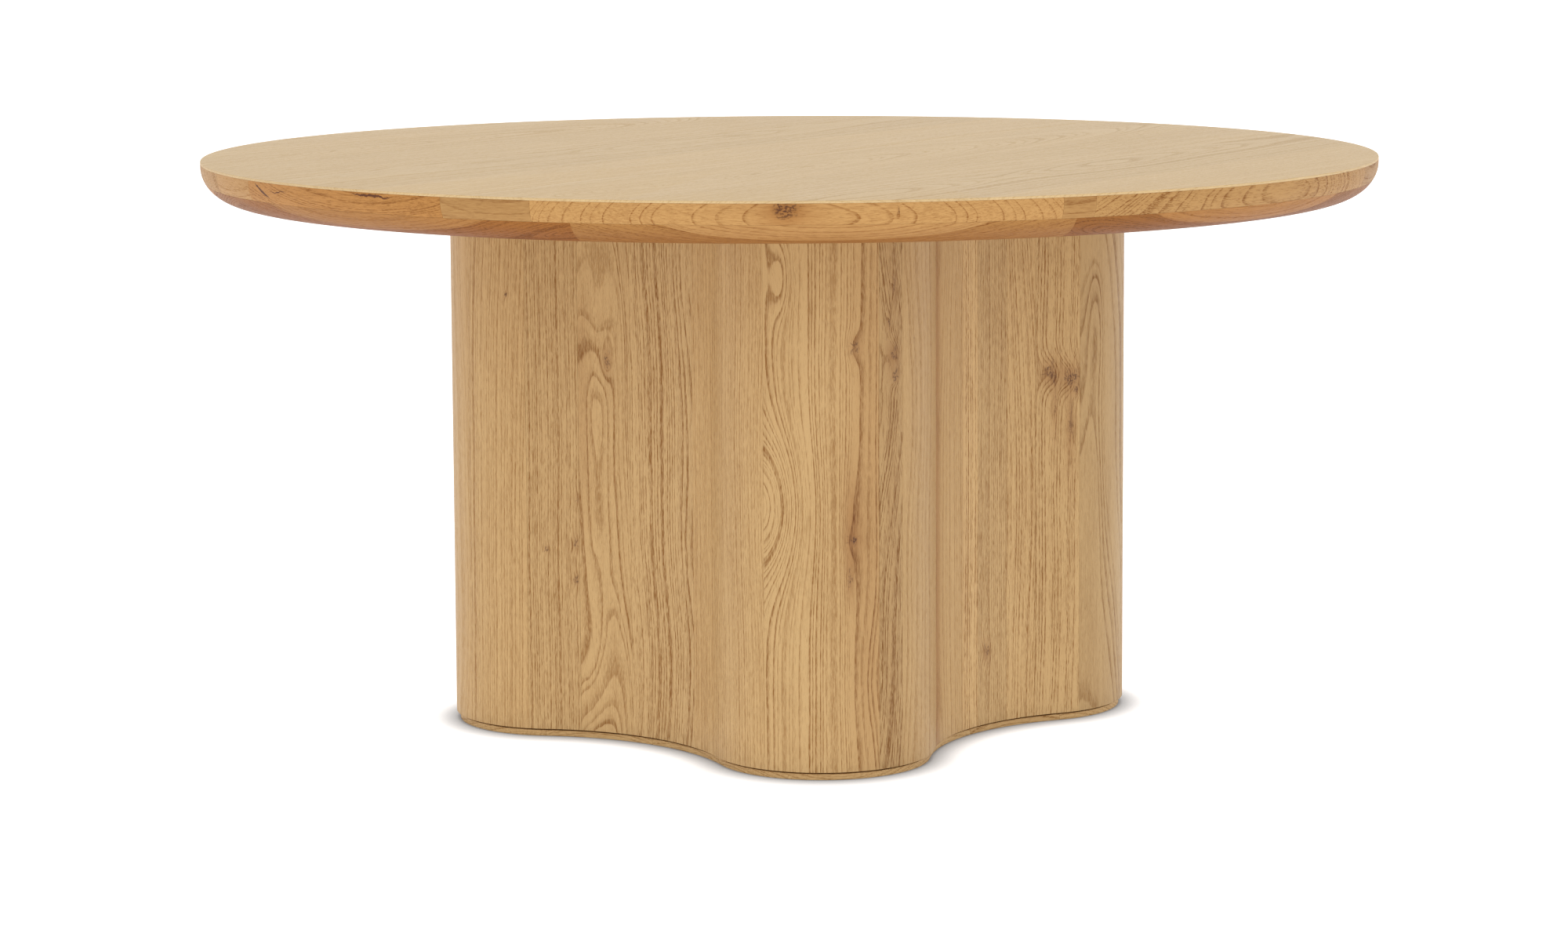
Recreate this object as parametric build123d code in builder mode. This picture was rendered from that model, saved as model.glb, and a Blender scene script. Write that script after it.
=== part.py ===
from build123d import *
import os
from math import atan2, cos, degrees, radians, sin, sqrt

os.makedirs("parts", exist_ok=True)

# Round dining table in oak. A built-up round top, with a rounded-under edge in two courses of
# solid oak, is bolted to a hollow pedestal whose plan is a clover of four lobes, made of upright
# boards glued edge to edge. Millimetres, +Z up, origin on the floor under the table's centre.
# The front lobe points along -Y, and every angle round the table counts from there, anticlockwise.

# ---------------------------------------------------------------- driving dimensions
TOP_DIAMETER = 1524
TABLE_HEIGHT = 737
TOP_THICKNESS = 53
FACE_THICKNESS = 3            # sawn oak face, laid over the core and the edge courses
FACE_ARRIS = 1.2              # rounding of the face's upper edge
LAND_HEIGHT = 7               # upright band at the top of the edge
UNDERCUT_DEPTH = 54           # how far the rounded edge runs in under the top
COURSE_JOINT_DEPTH = 28       # joint between the two edge courses, below the top
RIM_INNER_RADIUS = 660
CORE_GAP = 0.3                # glue line round panels let into a curved wall
UNDER_PANEL_THICKNESS = 6

LOWER_BOARDS = 8
LOWER_BOARD_FACE = 733        # centre of the table to the straight outer face of a lower board
FIRST_LOWER_BOARD = -4        # middle of the first lower board, from the front lobe
FIRST_UPPER_JOINT = -30.1     # degrees
LONG_SPANS = (47.1, 42.4, 44.0, 41.0, 46.0, 30.0, 31.6, 27.6)
SHORT_SPANS = (3.2, 7.0, 5.0, 8.0, 4.0, 5.0, 9.1, 9.0)

LOBES = 4
LOBE_CENTRE = 303             # centre of the table to the centre of a lobe
LOBE_RADIUS = 140
VALLEY_RADIUS = 275           # hollow curve that joins two lobes
STAVE_THICKNESS = 25
FIRST_STAVE_EDGE = -93        # along the outline, from the tip of the front lobe
STAVE_WIDTHS = (148, 36, 117, 102, 34, 55, 46, 66, 105, 112, 96, 128, 74, 118, 104,
                92, 131, 86, 122, 98, 108, 84, 110, 97, 69, 74, 112, 53, 104)

PLINTH_HEIGHT = 10
PLINTH_RECESS = 5
PLINTH_WIDTH = 25
PLINTH_GAP = 0.4              # between neighbouring plinth pieces
BASE_PANEL_THICKNESS = 24
ACCESS_RADIUS = 140
TOP_PLATE_THICKNESS = 30
TOP_PLATE_HOLE_RADIUS = 110

BOLT_RADIUS = 4               # M8
BOLT_CLEARANCE_RADIUS = 4.5
BOLT_LENGTH = 52
BOLT_HEAD_WIDTH = 13
BOLT_HEAD_HEIGHT = 6
BOLT_FLANGE_RADIUS = 9
BOLT_FLANGE_HEIGHT = 2
LOBE_BOLT_DISTANCE = 360
INNER_BOLT_DISTANCE = 200
INSERT_RADIUS = 6.5
INSERT_LENGTH = 20
INSERT_POCKET_DEPTH = 24
FIT_GAP = 0.1                 # round a sleeve or a screw that stays put

GLIDE_STUD_RADIUS = 4.95      # M10, running in its socket
GLIDE_STUD_LENGTH = 44
GLIDE_FOOT_RADIUS = 20
GLIDE_NECK_RADIUS = 9
GLIDE_RIM_HEIGHT = 4
GLIDE_FOOT_HEIGHT = 7
SOCKET_BORE_RADIUS = 5
SOCKET_RADIUS = 9
SOCKET_FLANGE_RADIUS = 16
SOCKET_FLANGE_HEIGHT = 3

# ---------------------------------------------------------------- worked-out sizes
TOP_RADIUS = TOP_DIAMETER / 2
TOP_BOTTOM = TABLE_HEIGHT - TOP_THICKNESS
FACE_BOTTOM = TABLE_HEIGHT - FACE_THICKNESS
COURSE_JOINT = TABLE_HEIGHT - COURSE_JOINT_DEPTH
LAND_BOTTOM = TABLE_HEIGHT - LAND_HEIGHT
CORE_RADIUS = RIM_INNER_RADIUS - CORE_GAP
CORE_BOTTOM = TOP_BOTTOM + UNDER_PANEL_THICKNESS

LOBE_ANGLE = 360 / LOBES
FRONT = -90                   # direction of the front lobe, from +X

# A hollow curve touches its two lobes, so its centre lies on the line between them, at the
# distance where the two radii add up.
BISECTOR = LOBE_ANGLE / 2
VALLEY_CENTRE = LOBE_CENTRE * cos(radians(BISECTOR)) + sqrt(
    (LOBE_RADIUS + VALLEY_RADIUS) ** 2 - (LOBE_CENTRE * sin(radians(BISECTOR))) ** 2)
LOBE_HALF_SWEEP = degrees(atan2(VALLEY_CENTRE * sin(radians(BISECTOR)),
                                VALLEY_CENTRE * cos(radians(BISECTOR)) - LOBE_CENTRE))
VALLEY_SWEEP = 2 * LOBE_HALF_SWEEP - LOBE_ANGLE
LOBE_RUN = LOBE_RADIUS * radians(2 * LOBE_HALF_SWEEP)
VALLEY_RUN = VALLEY_RADIUS * radians(VALLEY_SWEEP)
LOBE_PITCH = LOBE_RUN + VALLEY_RUN
OUTLINE_LENGTH = LOBES * LOBE_PITCH

INNER_FACE = STAVE_THICKNESS + CORE_GAP
TOP_PLATE_BOTTOM = TOP_BOTTOM - TOP_PLATE_THICKNESS
BASE_PANEL_TOP = PLINTH_HEIGHT + BASE_PANEL_THICKNESS


# ---------------------------------------------------------------- helpers
def polar(distance, angle):
    """Point at a distance and angle from the table's centre, in plan."""
    return (distance * cos(radians(angle)), distance * sin(radians(angle)))


def upright_plane(angle):
    """Vertical plane through the table's axis, its x pointing outwards at the angle."""
    return Plane(origin=(0, 0, 0), x_dir=(*polar(1, angle), 0), z_dir=(*polar(1, angle - 90), 0))


def save(piece, name):
    """Label a finished piece and write it to its own file."""
    piece.part.label = name
    export_step(piece.part, f"parts/{name}.step")


def edge_section(plane, bottom, top):
    """Section of the rounded edge between two heights."""
    with BuildSketch(plane) as section:
        with BuildLine():
            curve = EllipticalCenterArc((TOP_RADIUS - UNDERCUT_DEPTH, LAND_BOTTOM), UNDERCUT_DEPTH,
                                        LAND_BOTTOM - TOP_BOTTOM, start_angle=270, arc_size=90)
            Polyline(curve @ 1, (TOP_RADIUS, FACE_BOTTOM), (RIM_INNER_RADIUS, FACE_BOTTOM),
                     (RIM_INNER_RADIUS, TOP_BOTTOM), curve @ 0)
        make_face()
        with Locations(((RIM_INNER_RADIUS + TOP_RADIUS) / 2, (bottom + top) / 2)):
            Rectangle(TOP_RADIUS - RIM_INNER_RADIUS, top - bottom, mode=Mode.INTERSECT)
    return section.sketch


def outline_arcs(start, end, inset):
    """Arcs of the pedestal's outline between two distances along it, moved in by inset.

    Each arc is (centre, radius, start angle, sweep), as CenterArc takes it.
    """
    arcs = []
    for lobe in range(-1, LOBES + 1):
        facing = FRONT + lobe * LOBE_ANGLE
        tip = lobe * LOBE_PITCH
        first = max(start, tip - LOBE_RUN / 2)
        last = min(end, tip + LOBE_RUN / 2)
        if last > first:
            arcs.append((polar(LOBE_CENTRE, facing), LOBE_RADIUS - inset,
                         facing + degrees((first - tip) / LOBE_RADIUS),
                         degrees((last - first) / LOBE_RADIUS)))
        meeting = tip + LOBE_RUN / 2
        first = max(start, meeting)
        last = min(end, meeting + VALLEY_RUN)
        if last > first:
            arcs.append((polar(VALLEY_CENTRE, facing + BISECTOR), VALLEY_RADIUS + inset,
                         facing + LOBE_HALF_SWEEP + 180 - degrees((first - meeting) / VALLEY_RADIUS),
                         -degrees((last - first) / VALLEY_RADIUS)))
    return arcs


def wall_section(start, end, outer, inner):
    """Plan of a length of the pedestal's wall, between two depths behind its outer face."""
    with BuildSketch() as section:
        with BuildLine():
            outer_run = [CenterArc(*arc) for arc in outline_arcs(start, end, outer)]
            inner_run = [CenterArc(*arc) for arc in outline_arcs(start, end, inner)]
            Line(outer_run[0] @ 0, inner_run[0] @ 0)
            Line(outer_run[-1] @ 1, inner_run[-1] @ 1)
        make_face()
    return section.sketch


def clover_section(inset):
    """Plan of the whole pedestal, moved in by inset."""
    with BuildSketch() as section:
        with BuildLine():
            for arc in outline_arcs(0, OUTLINE_LENGTH, inset):
                CenterArc(*arc)
        make_face()
    return section.sketch


bolt_places = ([polar(LOBE_BOLT_DISTANCE, FRONT + lobe * LOBE_ANGLE) for lobe in range(LOBES)]
               + [polar(INNER_BOLT_DISTANCE, FRONT + BISECTOR + lobe * LOBE_ANGLE) for lobe in range(LOBES)])
glide_places = [polar(LOBE_CENTRE, FRONT + lobe * LOBE_ANGLE) for lobe in range(LOBES)]

# ---------------------------------------------------------------- the round top
with BuildPart() as top_face:
    with BuildSketch(Plane.XY.offset(FACE_BOTTOM)):
        Circle(TOP_RADIUS)
    extrude(amount=FACE_THICKNESS)
    fillet(top_face.faces().sort_by(Axis.Z)[-1].edges(), radius=FACE_ARRIS)
save(top_face, "top_face")

with BuildPart() as core_panel:
    with BuildSketch(Plane.XY.offset(CORE_BOTTOM)):
        Circle(CORE_RADIUS)
    extrude(amount=FACE_BOTTOM - CORE_BOTTOM)
    with BuildSketch(Plane.XY.offset(CORE_BOTTOM)):
        with Locations(bolt_places):
            Circle(INSERT_RADIUS + FIT_GAP)
    extrude(amount=INSERT_POCKET_DEPTH, mode=Mode.SUBTRACT)
save(core_panel, "core_panel")

with BuildPart() as under_panel:
    with BuildSketch(Plane.XY.offset(TOP_BOTTOM)):
        Circle(CORE_RADIUS)
        with Locations(bolt_places):
            Circle(BOLT_CLEARANCE_RADIUS, mode=Mode.SUBTRACT)
    extrude(amount=UNDER_PANEL_THICKNESS)
save(under_panel, "under_panel")

# Upper course: long curved segments with short blocks between them.
block_starts = []
joint = FIRST_UPPER_JOINT
for number, (long_span, short_span) in enumerate(zip(LONG_SPANS, SHORT_SPANS), start=1):
    with BuildPart() as segment:
        add(edge_section(upright_plane(FRONT + joint), COURSE_JOINT, FACE_BOTTOM))
        revolve(axis=Axis.Z, revolution_arc=long_span)
    save(segment, f"rim_upper_segment_{number}")
    block_starts.append(joint + long_span)
    joint += long_span + short_span

with BuildPart() as upper_blocks:
    for start, span in zip(block_starts, SHORT_SPANS):
        section = edge_section(upright_plane(FRONT + start), COURSE_JOINT, FACE_BOTTOM)
        revolve(section, axis=Axis.Z, revolution_arc=span)
save(upper_blocks, "rim_upper_blocks")

# Lower course: a ring of mitred boards with straight outer faces, and a curved strip glued to
# each of those faces to fill out the circle.
board_span = 360 / LOWER_BOARDS
for number in range(1, LOWER_BOARDS + 1):
    middle = FRONT + FIRST_LOWER_BOARD + (number - 1) * board_span
    with BuildPart() as board:
        add(edge_section(upright_plane(middle - board_span / 2), TOP_BOTTOM, COURSE_JOINT))
        revolve(axis=Axis.Z, revolution_arc=board_span)
        split(bisect_by=Plane(origin=(*polar(LOWER_BOARD_FACE, middle), 0), z_dir=(*polar(1, middle), 0)),
              keep=Keep.BOTTOM)
    save(board, f"rim_lower_board_{number}")

strip_middle = FRONT + FIRST_LOWER_BOARD
with BuildPart() as first_strip:
    add(edge_section(upright_plane(strip_middle - board_span / 2), TOP_BOTTOM, COURSE_JOINT))
    revolve(axis=Axis.Z, revolution_arc=board_span)
    split(bisect_by=Plane(origin=(*polar(LOWER_BOARD_FACE, strip_middle), 0),
                          z_dir=(*polar(1, strip_middle), 0)), keep=Keep.TOP)

with BuildPart() as lower_strips:
    with PolarLocations(0, LOWER_BOARDS):
        add(first_strip.part)
save(lower_strips, "rim_lower_strips")

# ---------------------------------------------------------------- the pedestal's wall
width_scale = OUTLINE_LENGTH / sum(STAVE_WIDTHS)
edge = FIRST_STAVE_EDGE
for number, width in enumerate(STAVE_WIDTHS, start=1):
    next_edge = edge + width * width_scale
    with BuildPart() as stave:
        with BuildSketch(Plane.XY.offset(PLINTH_HEIGHT)):
            add(wall_section(edge, next_edge, 0, STAVE_THICKNESS))
        extrude(amount=TOP_BOTTOM - PLINTH_HEIGHT)
    save(stave, f"stave_{number:02d}")
    edge = next_edge

# ---------------------------------------------------------------- inside the pedestal
with BuildPart() as top_plate:
    with BuildSketch(Plane.XY.offset(TOP_PLATE_BOTTOM)):
        add(clover_section(INNER_FACE))
        Circle(TOP_PLATE_HOLE_RADIUS, mode=Mode.SUBTRACT)
        with Locations(bolt_places):
            Circle(BOLT_CLEARANCE_RADIUS, mode=Mode.SUBTRACT)
    extrude(amount=TOP_PLATE_THICKNESS)
save(top_plate, "top_plate")

with BuildPart() as base_panel:
    with BuildSketch(Plane.XY.offset(PLINTH_HEIGHT)):
        add(clover_section(INNER_FACE))
        Circle(ACCESS_RADIUS, mode=Mode.SUBTRACT)
        with Locations(glide_places):
            Circle(SOCKET_RADIUS + FIT_GAP, mode=Mode.SUBTRACT)
    extrude(amount=BASE_PANEL_THICKNESS)
save(base_panel, "base_panel")

# The recessed plinth: one bent piece under each lobe and two under each hollow.
plinth_lengths = (LOBE_RUN, VALLEY_RUN / 2, VALLEY_RUN / 2)
with BuildPart() as plinth:
    for lobe in range(LOBES):
        start = lobe * LOBE_PITCH - LOBE_RUN / 2
        for length in plinth_lengths:
            with BuildSketch():
                add(wall_section(start + PLINTH_GAP / 2, start + length - PLINTH_GAP / 2,
                                 PLINTH_RECESS, PLINTH_RECESS + PLINTH_WIDTH))
            extrude(amount=PLINTH_HEIGHT)
            start += length
save(plinth, "plinth")

# ---------------------------------------------------------------- fastenings of the top
with BuildPart() as top_bolts:
    with BuildSketch(Plane.XY.offset(TOP_PLATE_BOTTOM)):
        with Locations(bolt_places):
            Circle(BOLT_RADIUS)
    extrude(amount=BOLT_LENGTH)
    with BuildSketch(Plane.XY.offset(TOP_PLATE_BOTTOM)):
        with Locations(bolt_places):
            Circle(BOLT_FLANGE_RADIUS)
    extrude(amount=-BOLT_FLANGE_HEIGHT)
    with BuildSketch(Plane.XY.offset(TOP_PLATE_BOTTOM - BOLT_FLANGE_HEIGHT)):
        with Locations(bolt_places):
            RegularPolygon(BOLT_HEAD_WIDTH / 2, 6, major_radius=False)
    extrude(amount=-BOLT_HEAD_HEIGHT)
save(top_bolts, "top_bolts")

with BuildPart() as top_inserts:
    with BuildSketch(Plane.XY.offset(CORE_BOTTOM)):
        with Locations(bolt_places):
            Circle(INSERT_RADIUS)
            Circle(BOLT_RADIUS + FIT_GAP, mode=Mode.SUBTRACT)
    extrude(amount=INSERT_LENGTH)
save(top_inserts, "top_inserts")

# ---------------------------------------------------------------- levelling glides
with BuildPart() as glide_sockets:
    with BuildSketch(Plane.XY.offset(PLINTH_HEIGHT)):
        with Locations(glide_places):
            Circle(SOCKET_RADIUS)
    extrude(amount=BASE_PANEL_THICKNESS)
    with BuildSketch(Plane.XY.offset(BASE_PANEL_TOP)):
        with Locations(glide_places):
            Circle(SOCKET_FLANGE_RADIUS)
    extrude(amount=SOCKET_FLANGE_HEIGHT)
    with BuildSketch(Plane.XY.offset(PLINTH_HEIGHT)):
        with Locations(glide_places):
            Circle(SOCKET_BORE_RADIUS)
    extrude(amount=BASE_PANEL_THICKNESS + SOCKET_FLANGE_HEIGHT, mode=Mode.SUBTRACT)
save(glide_sockets, "glide_sockets")

for number, place in enumerate(glide_places, start=1):
    with BuildPart() as glide:
        with BuildSketch(Plane(origin=(*place, 0), x_dir=(1, 0, 0), z_dir=(0, -1, 0))):
            with BuildLine():
                Polyline((0, 0), (GLIDE_FOOT_RADIUS, 0), (GLIDE_FOOT_RADIUS, GLIDE_RIM_HEIGHT),
                         (GLIDE_NECK_RADIUS, GLIDE_FOOT_HEIGHT), (GLIDE_STUD_RADIUS, GLIDE_FOOT_HEIGHT),
                         (GLIDE_STUD_RADIUS, GLIDE_FOOT_HEIGHT + GLIDE_STUD_LENGTH),
                         (0, GLIDE_FOOT_HEIGHT + GLIDE_STUD_LENGTH), close=True)
            make_face()
        revolve(axis=Axis((*place, 0), (0, 0, 1)), revolution_arc=360)
    save(glide, f"glide_{number}")
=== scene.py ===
# %% [markdown]
# # A round oak pedestal table
# A furniture shop glues this table up from solid oak: a round top, whose thick edge is built in two
# courses of short boards, on a hollow pedestal of upright boards that runs round in four lobes.
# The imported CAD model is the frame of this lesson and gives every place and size. Each board that
# shows gets a finished mesh here, and a wood that runs through it in three dimensions, so that its
# face, its ends and its rounded edges all show the same growth rings.

import bmesh
import bpy
from math import atan2, cos, degrees, pi, radians, sin, sqrt, tau
from mathutils import Matrix, Vector


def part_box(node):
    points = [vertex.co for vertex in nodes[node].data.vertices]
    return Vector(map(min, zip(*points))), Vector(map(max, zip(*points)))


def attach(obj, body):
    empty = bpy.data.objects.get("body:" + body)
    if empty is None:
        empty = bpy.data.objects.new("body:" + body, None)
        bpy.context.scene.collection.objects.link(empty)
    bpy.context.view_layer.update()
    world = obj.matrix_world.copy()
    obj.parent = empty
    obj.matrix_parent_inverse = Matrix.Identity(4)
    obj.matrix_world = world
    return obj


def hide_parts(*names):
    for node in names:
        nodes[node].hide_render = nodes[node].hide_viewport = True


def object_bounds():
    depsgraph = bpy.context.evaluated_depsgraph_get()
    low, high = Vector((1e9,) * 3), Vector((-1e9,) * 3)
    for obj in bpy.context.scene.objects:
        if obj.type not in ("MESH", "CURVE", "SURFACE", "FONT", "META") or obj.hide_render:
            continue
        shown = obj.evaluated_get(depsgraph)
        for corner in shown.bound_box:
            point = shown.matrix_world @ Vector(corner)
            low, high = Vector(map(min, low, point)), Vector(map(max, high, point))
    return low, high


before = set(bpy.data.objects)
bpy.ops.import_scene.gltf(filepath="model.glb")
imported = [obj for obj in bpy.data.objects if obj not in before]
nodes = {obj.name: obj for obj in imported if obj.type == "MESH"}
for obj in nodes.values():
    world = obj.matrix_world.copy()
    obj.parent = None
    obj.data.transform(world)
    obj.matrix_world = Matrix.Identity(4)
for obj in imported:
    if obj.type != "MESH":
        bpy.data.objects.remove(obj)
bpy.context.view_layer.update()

# %% [markdown]
# ## Sizes
# Places are read from the frame, so each piece lands where the CAD model has it. Only what a box
# can't tell, such as the radii of the curves, is named here, in metres. Angles round the table
# count anticlockwise from the front lobe, which points along -Y.

# %% Sizes read from the frame
TOP_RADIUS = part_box("top_face")[1].x
TOP_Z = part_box("top_face")[1].z
FACE_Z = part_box("top_face")[0].z
COURSE_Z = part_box("rim_upper_segment_1")[0].z
UNDER_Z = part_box("under_panel")[0].z
PLINTH_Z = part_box("plinth")[1].z
print("top", round(TOP_RADIUS * 2, 3), "m across and", round(TOP_Z, 3), "m high")

# %% Sizes of the curves
FRONT = -pi / 2
RIM_INNER_RADIUS = 0.660
LAND_Z = TOP_Z - 0.007
UNDERCUT = 0.054
LOBES = 4
LOBE_ANGLE = tau / LOBES
LOBE_CENTRE = 0.303
LOBE_RADIUS = 0.140
VALLEY_RADIUS = 0.275
STAVE_THICKNESS = 0.025
PLINTH_RECESS = 0.005
PLINTH_WIDTH = 0.025

# %% [markdown]
# ## The clover outline
# The pedestal's plan is four arcs that bulge out, joined by four arcs that curve in. Each pair
# touches without a corner, so a hollow arc's centre lies on the diagonal at the distance where
# the two radii add up. Two functions go between the curve and the distance along it.

# %% Worked-out lengths of the outline
BISECTOR = LOBE_ANGLE / 2
VALLEY_CENTRE = LOBE_CENTRE * cos(BISECTOR) + sqrt(
    (LOBE_RADIUS + VALLEY_RADIUS) ** 2 - (LOBE_CENTRE * sin(BISECTOR)) ** 2)
LOBE_HALF_SWEEP = atan2(VALLEY_CENTRE * sin(BISECTOR), VALLEY_CENTRE * cos(BISECTOR) - LOBE_CENTRE)
LOBE_RUN = 2 * LOBE_HALF_SWEEP * LOBE_RADIUS
VALLEY_RUN = (2 * LOBE_HALF_SWEEP - LOBE_ANGLE) * VALLEY_RADIUS
LOBE_PITCH = LOBE_RUN + VALLEY_RUN
OUTLINE_LENGTH = LOBES * LOBE_PITCH
print("outline", round(OUTLINE_LENGTH, 3), "m round")

# %% Between a point and its distance along the outline
def polar(distance, angle):
    """Point of the floor at a distance and an angle from the table's centre."""
    return Vector((distance * cos(angle), distance * sin(angle), 0))

def outline_point(along):
    """Point of the outline and the direction that faces out there."""
    lobe = round(along / LOBE_PITCH)
    facing = FRONT + lobe * LOBE_ANGLE
    past = along - lobe * LOBE_PITCH
    if abs(past) <= LOBE_RUN / 2:
        out = polar(1, facing + past / LOBE_RADIUS)
        return polar(LOBE_CENTRE, facing) + out * LOBE_RADIUS, out
    side = 1 if past > 0 else -1
    swept = (abs(past) - LOBE_RUN / 2) / VALLEY_RADIUS
    inward = polar(1, facing + side * (LOBE_HALF_SWEEP + pi - swept))
    return polar(VALLEY_CENTRE, facing + side * BISECTOR) + inward * VALLEY_RADIUS, -inward

def outline_distance(point):
    """Distance along the outline of a point on the wall, whatever its depth."""
    lobe = round((atan2(point.y, point.x) - FRONT) / LOBE_ANGLE)
    local = Matrix.Rotation(-FRONT - lobe * LOBE_ANGLE, 4, "Z") @ Vector((point.x, point.y, 0))
    angle = atan2(local.y, local.x - LOBE_CENTRE)
    if abs(angle) <= LOBE_HALF_SWEEP:
        return lobe * LOBE_PITCH + angle * LOBE_RADIUS
    side = 1 if local.y > 0 else -1
    swept = LOBE_HALF_SWEEP + pi - atan2(side * local.y - VALLEY_CENTRE * sin(BISECTOR),
                                         local.x - VALLEY_CENTRE * cos(BISECTOR)) % tau
    return lobe * LOBE_PITCH + side * (LOBE_RUN / 2 + swept * VALLEY_RADIUS)

# %% Where a CAD board begins and ends
def span(name, measure, whole):
    """Lowest and highest measure of a CAD node's points, unrolled past the end of the whole."""
    points = [v.co for v in nodes[name].data.vertices]
    first = measure(points[0])
    shifts = [(measure(p) - first + whole / 2) % whole - whole / 2 for p in points]
    return first + min(shifts), first + max(shifts)

def bearing(point):
    """Angle of a point round the table, from the front."""
    return atan2(point.y, point.x) - FRONT

stave_names = sorted(n for n in nodes if n.startswith("stave_"))
stave_spans = {n: span(n, outline_distance, OUTLINE_LENGTH) for n in stave_names}
widths = [round(1000 * (end - start)) for start, end in stave_spans.values()]
print("staves:", len(stave_spans), "widths in mm:", widths)

# %% A new object in the scene
def add_object(name, data):
    """A new object at the origin, linked to the scene."""
    made = bpy.data.objects.new(name, data)
    bpy.context.scene.collection.objects.link(made)
    return made

# %% [markdown]
# ## Camera
# A long lens stands a little above the table top and a few degrees to the left of the front lobe.
# It looks slightly down, and a small shift keeps the upright boards nearly parallel.

# %% Camera
CAMERA_TURN = radians(-7.16)
CAMERA_DISTANCE = 5.366
CAMERA_SIDESTEP = -0.008
CAMERA_HEIGHT = 1.121
CAMERA_PITCH = radians(6.69)
CAMERA_ROLL = radians(-0.28)
CAMERA_LENS_MM = 94.5
CAMERA_SENSOR_MM = 36
CAMERA_SHIFT = -0.08

camera_data = bpy.data.cameras.new("camera")
camera_data.lens = CAMERA_LENS_MM
camera_data.sensor_width = CAMERA_SENSOR_MM
camera_data.shift_y = CAMERA_SHIFT
camera = add_object("camera", camera_data)
stand = Matrix.Rotation(CAMERA_TURN, 4, "Z") @ Matrix.Translation(
    (CAMERA_SIDESTEP, -CAMERA_DISTANCE, CAMERA_HEIGHT))
camera.matrix_world = (stand @ Matrix.Rotation(pi / 2 - CAMERA_PITCH, 4, "X")
                       @ Matrix.Rotation(CAMERA_ROLL, 4, "Z"))
bpy.context.scene.camera = camera
print("camera at", [round(v, 2) for v in camera.matrix_world.translation])

# %% [markdown]
# ## Writing node trees
# A shader of thirty nodes is easier to read as a few formulas. This small class adds one node per
# call, wires what it is given, whether a number or another node's output, and hands back the result.

# %% A helper that adds and wires nodes
class Wiring:
    """Fills one node tree."""

    def __init__(self, tree):
        self.tree = tree

    def add(self, kind, inputs=(), **settings):
        """One node: settings are its properties, and inputs go to its sockets by name or number."""
        node = self.tree.nodes.new(kind)
        for key, value in settings.items():
            setattr(node, key, value)
        for key, value in dict(inputs).items():
            self.feed(node.inputs[key], value)
        return node

    def feed(self, socket, value):
        if isinstance(value, bpy.types.NodeSocket):
            self.tree.links.new(value, socket)
        else:
            socket.default_value = value

    def math(self, operation, *values):
        return self.add("ShaderNodeMath", enumerate(values), operation=operation).outputs[0]

    def plus(self, first, second):
        return self.math("ADD", first, second)

    def minus(self, first, second):
        return self.math("SUBTRACT", first, second)

    def times(self, first, second):
        return self.math("MULTIPLY", first, second)

    def over(self, first, second):
        return self.math("DIVIDE", first, second)

    def times_plus(self, first, second, base):
        """The product of two values, plus a base."""
        return self.math("MULTIPLY_ADD", first, second, base)

    def swing(self, value, amount, base=0.0):
        """The base, plus an amount for each unit that the value is above a half."""
        return self.times_plus(self.minus(value, 0.5), amount, base)

    def length(self, first, second):
        """Length of the diagonal of two sides."""
        return self.math("SQRT", self.times_plus(first, first, self.times(second, second)))

    def scaled(self, vector, factors):
        return self.add("ShaderNodeVectorMath", {0: vector, 1: factors}, operation="MULTIPLY").outputs[0]

    def noise(self, vector, detail=2.0, shift=0.0):
        """Soft noise from 0 to 1 over a vector that is already scaled; shift picks another pattern."""
        return self.add("ShaderNodeTexNoise",
                        {"Vector": vector, "W": shift, "Scale": 1.0, "Detail": detail},
                        noise_dimensions="4D").outputs[0]

    def noise_along(self, value):
        """Soft noise along one value, as a number and as a colour."""
        return self.add("ShaderNodeTexNoise", {"W": value, "Scale": 1.0, "Detail": 1.0},
                        noise_dimensions="1D").outputs[:]

    def step(self, value, low, high):
        """0 below low, 1 above high, with soft shoulders between."""
        return self.add("ShaderNodeMapRange", {"Value": value, "From Min": low, "From Max": high},
                        interpolation_type="SMOOTHSTEP").outputs[0]

    def mix(self, factor, first, second, blend="MIX"):
        node = self.add("ShaderNodeMix", data_type="RGBA", blend_type=blend)
        self.feed(node.inputs[0], factor)
        self.feed(node.inputs[6], first)
        self.feed(node.inputs[7], second)
        return node.outputs[2]

    def xyz(self, vector):
        return self.add("ShaderNodeSeparateXYZ", {0: vector}).outputs[:]

    def vector(self, *values):
        return self.add("ShaderNodeCombineXYZ", enumerate(values)).outputs[0]

# %% An empty node group
FINISH_OUTPUTS = {"Color": "Color", "Roughness": "Float", "Height": "Float"}

def new_group(name, inputs, outputs, kind="ShaderNodeTree"):
    """A node group with named sockets. Returns it with its wiring, its inputs and its outputs."""
    tree = bpy.data.node_groups.new(name, kind)
    for socket, (type_name, default) in inputs.items():
        made = tree.interface.new_socket(socket, in_out="INPUT", socket_type="NodeSocket" + type_name)
        if default is not None:
            made.default_value = default
    for socket, type_name in outputs.items():
        tree.interface.new_socket(socket, in_out="OUTPUT", socket_type="NodeSocket" + type_name)
    wiring = Wiring(tree)
    return tree, wiring, wiring.add("NodeGroupInput").outputs, wiring.add("NodeGroupOutput").inputs

# %% [markdown]
# ## Oak, as a solid
# A tree adds a cone of wood each year, so a board is a slice through nested, slightly crooked cones.
# The group below works out how far each point is from the wandering pith, and that distance gives
# the year's ring. Where the pith runs straight behind a board its face shows lines, where it leans
# the face shows arches, and where a hidden knot pushes the rings they close into an eye.
# A painted image could show one face only; this field is cut by every face of the board at once.
# Oak is ring-porous: each year starts with a band of open pores, which show as dark dashes, and
# wide rays cross the rings and show as pale flecks where the board is cut along them.

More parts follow.
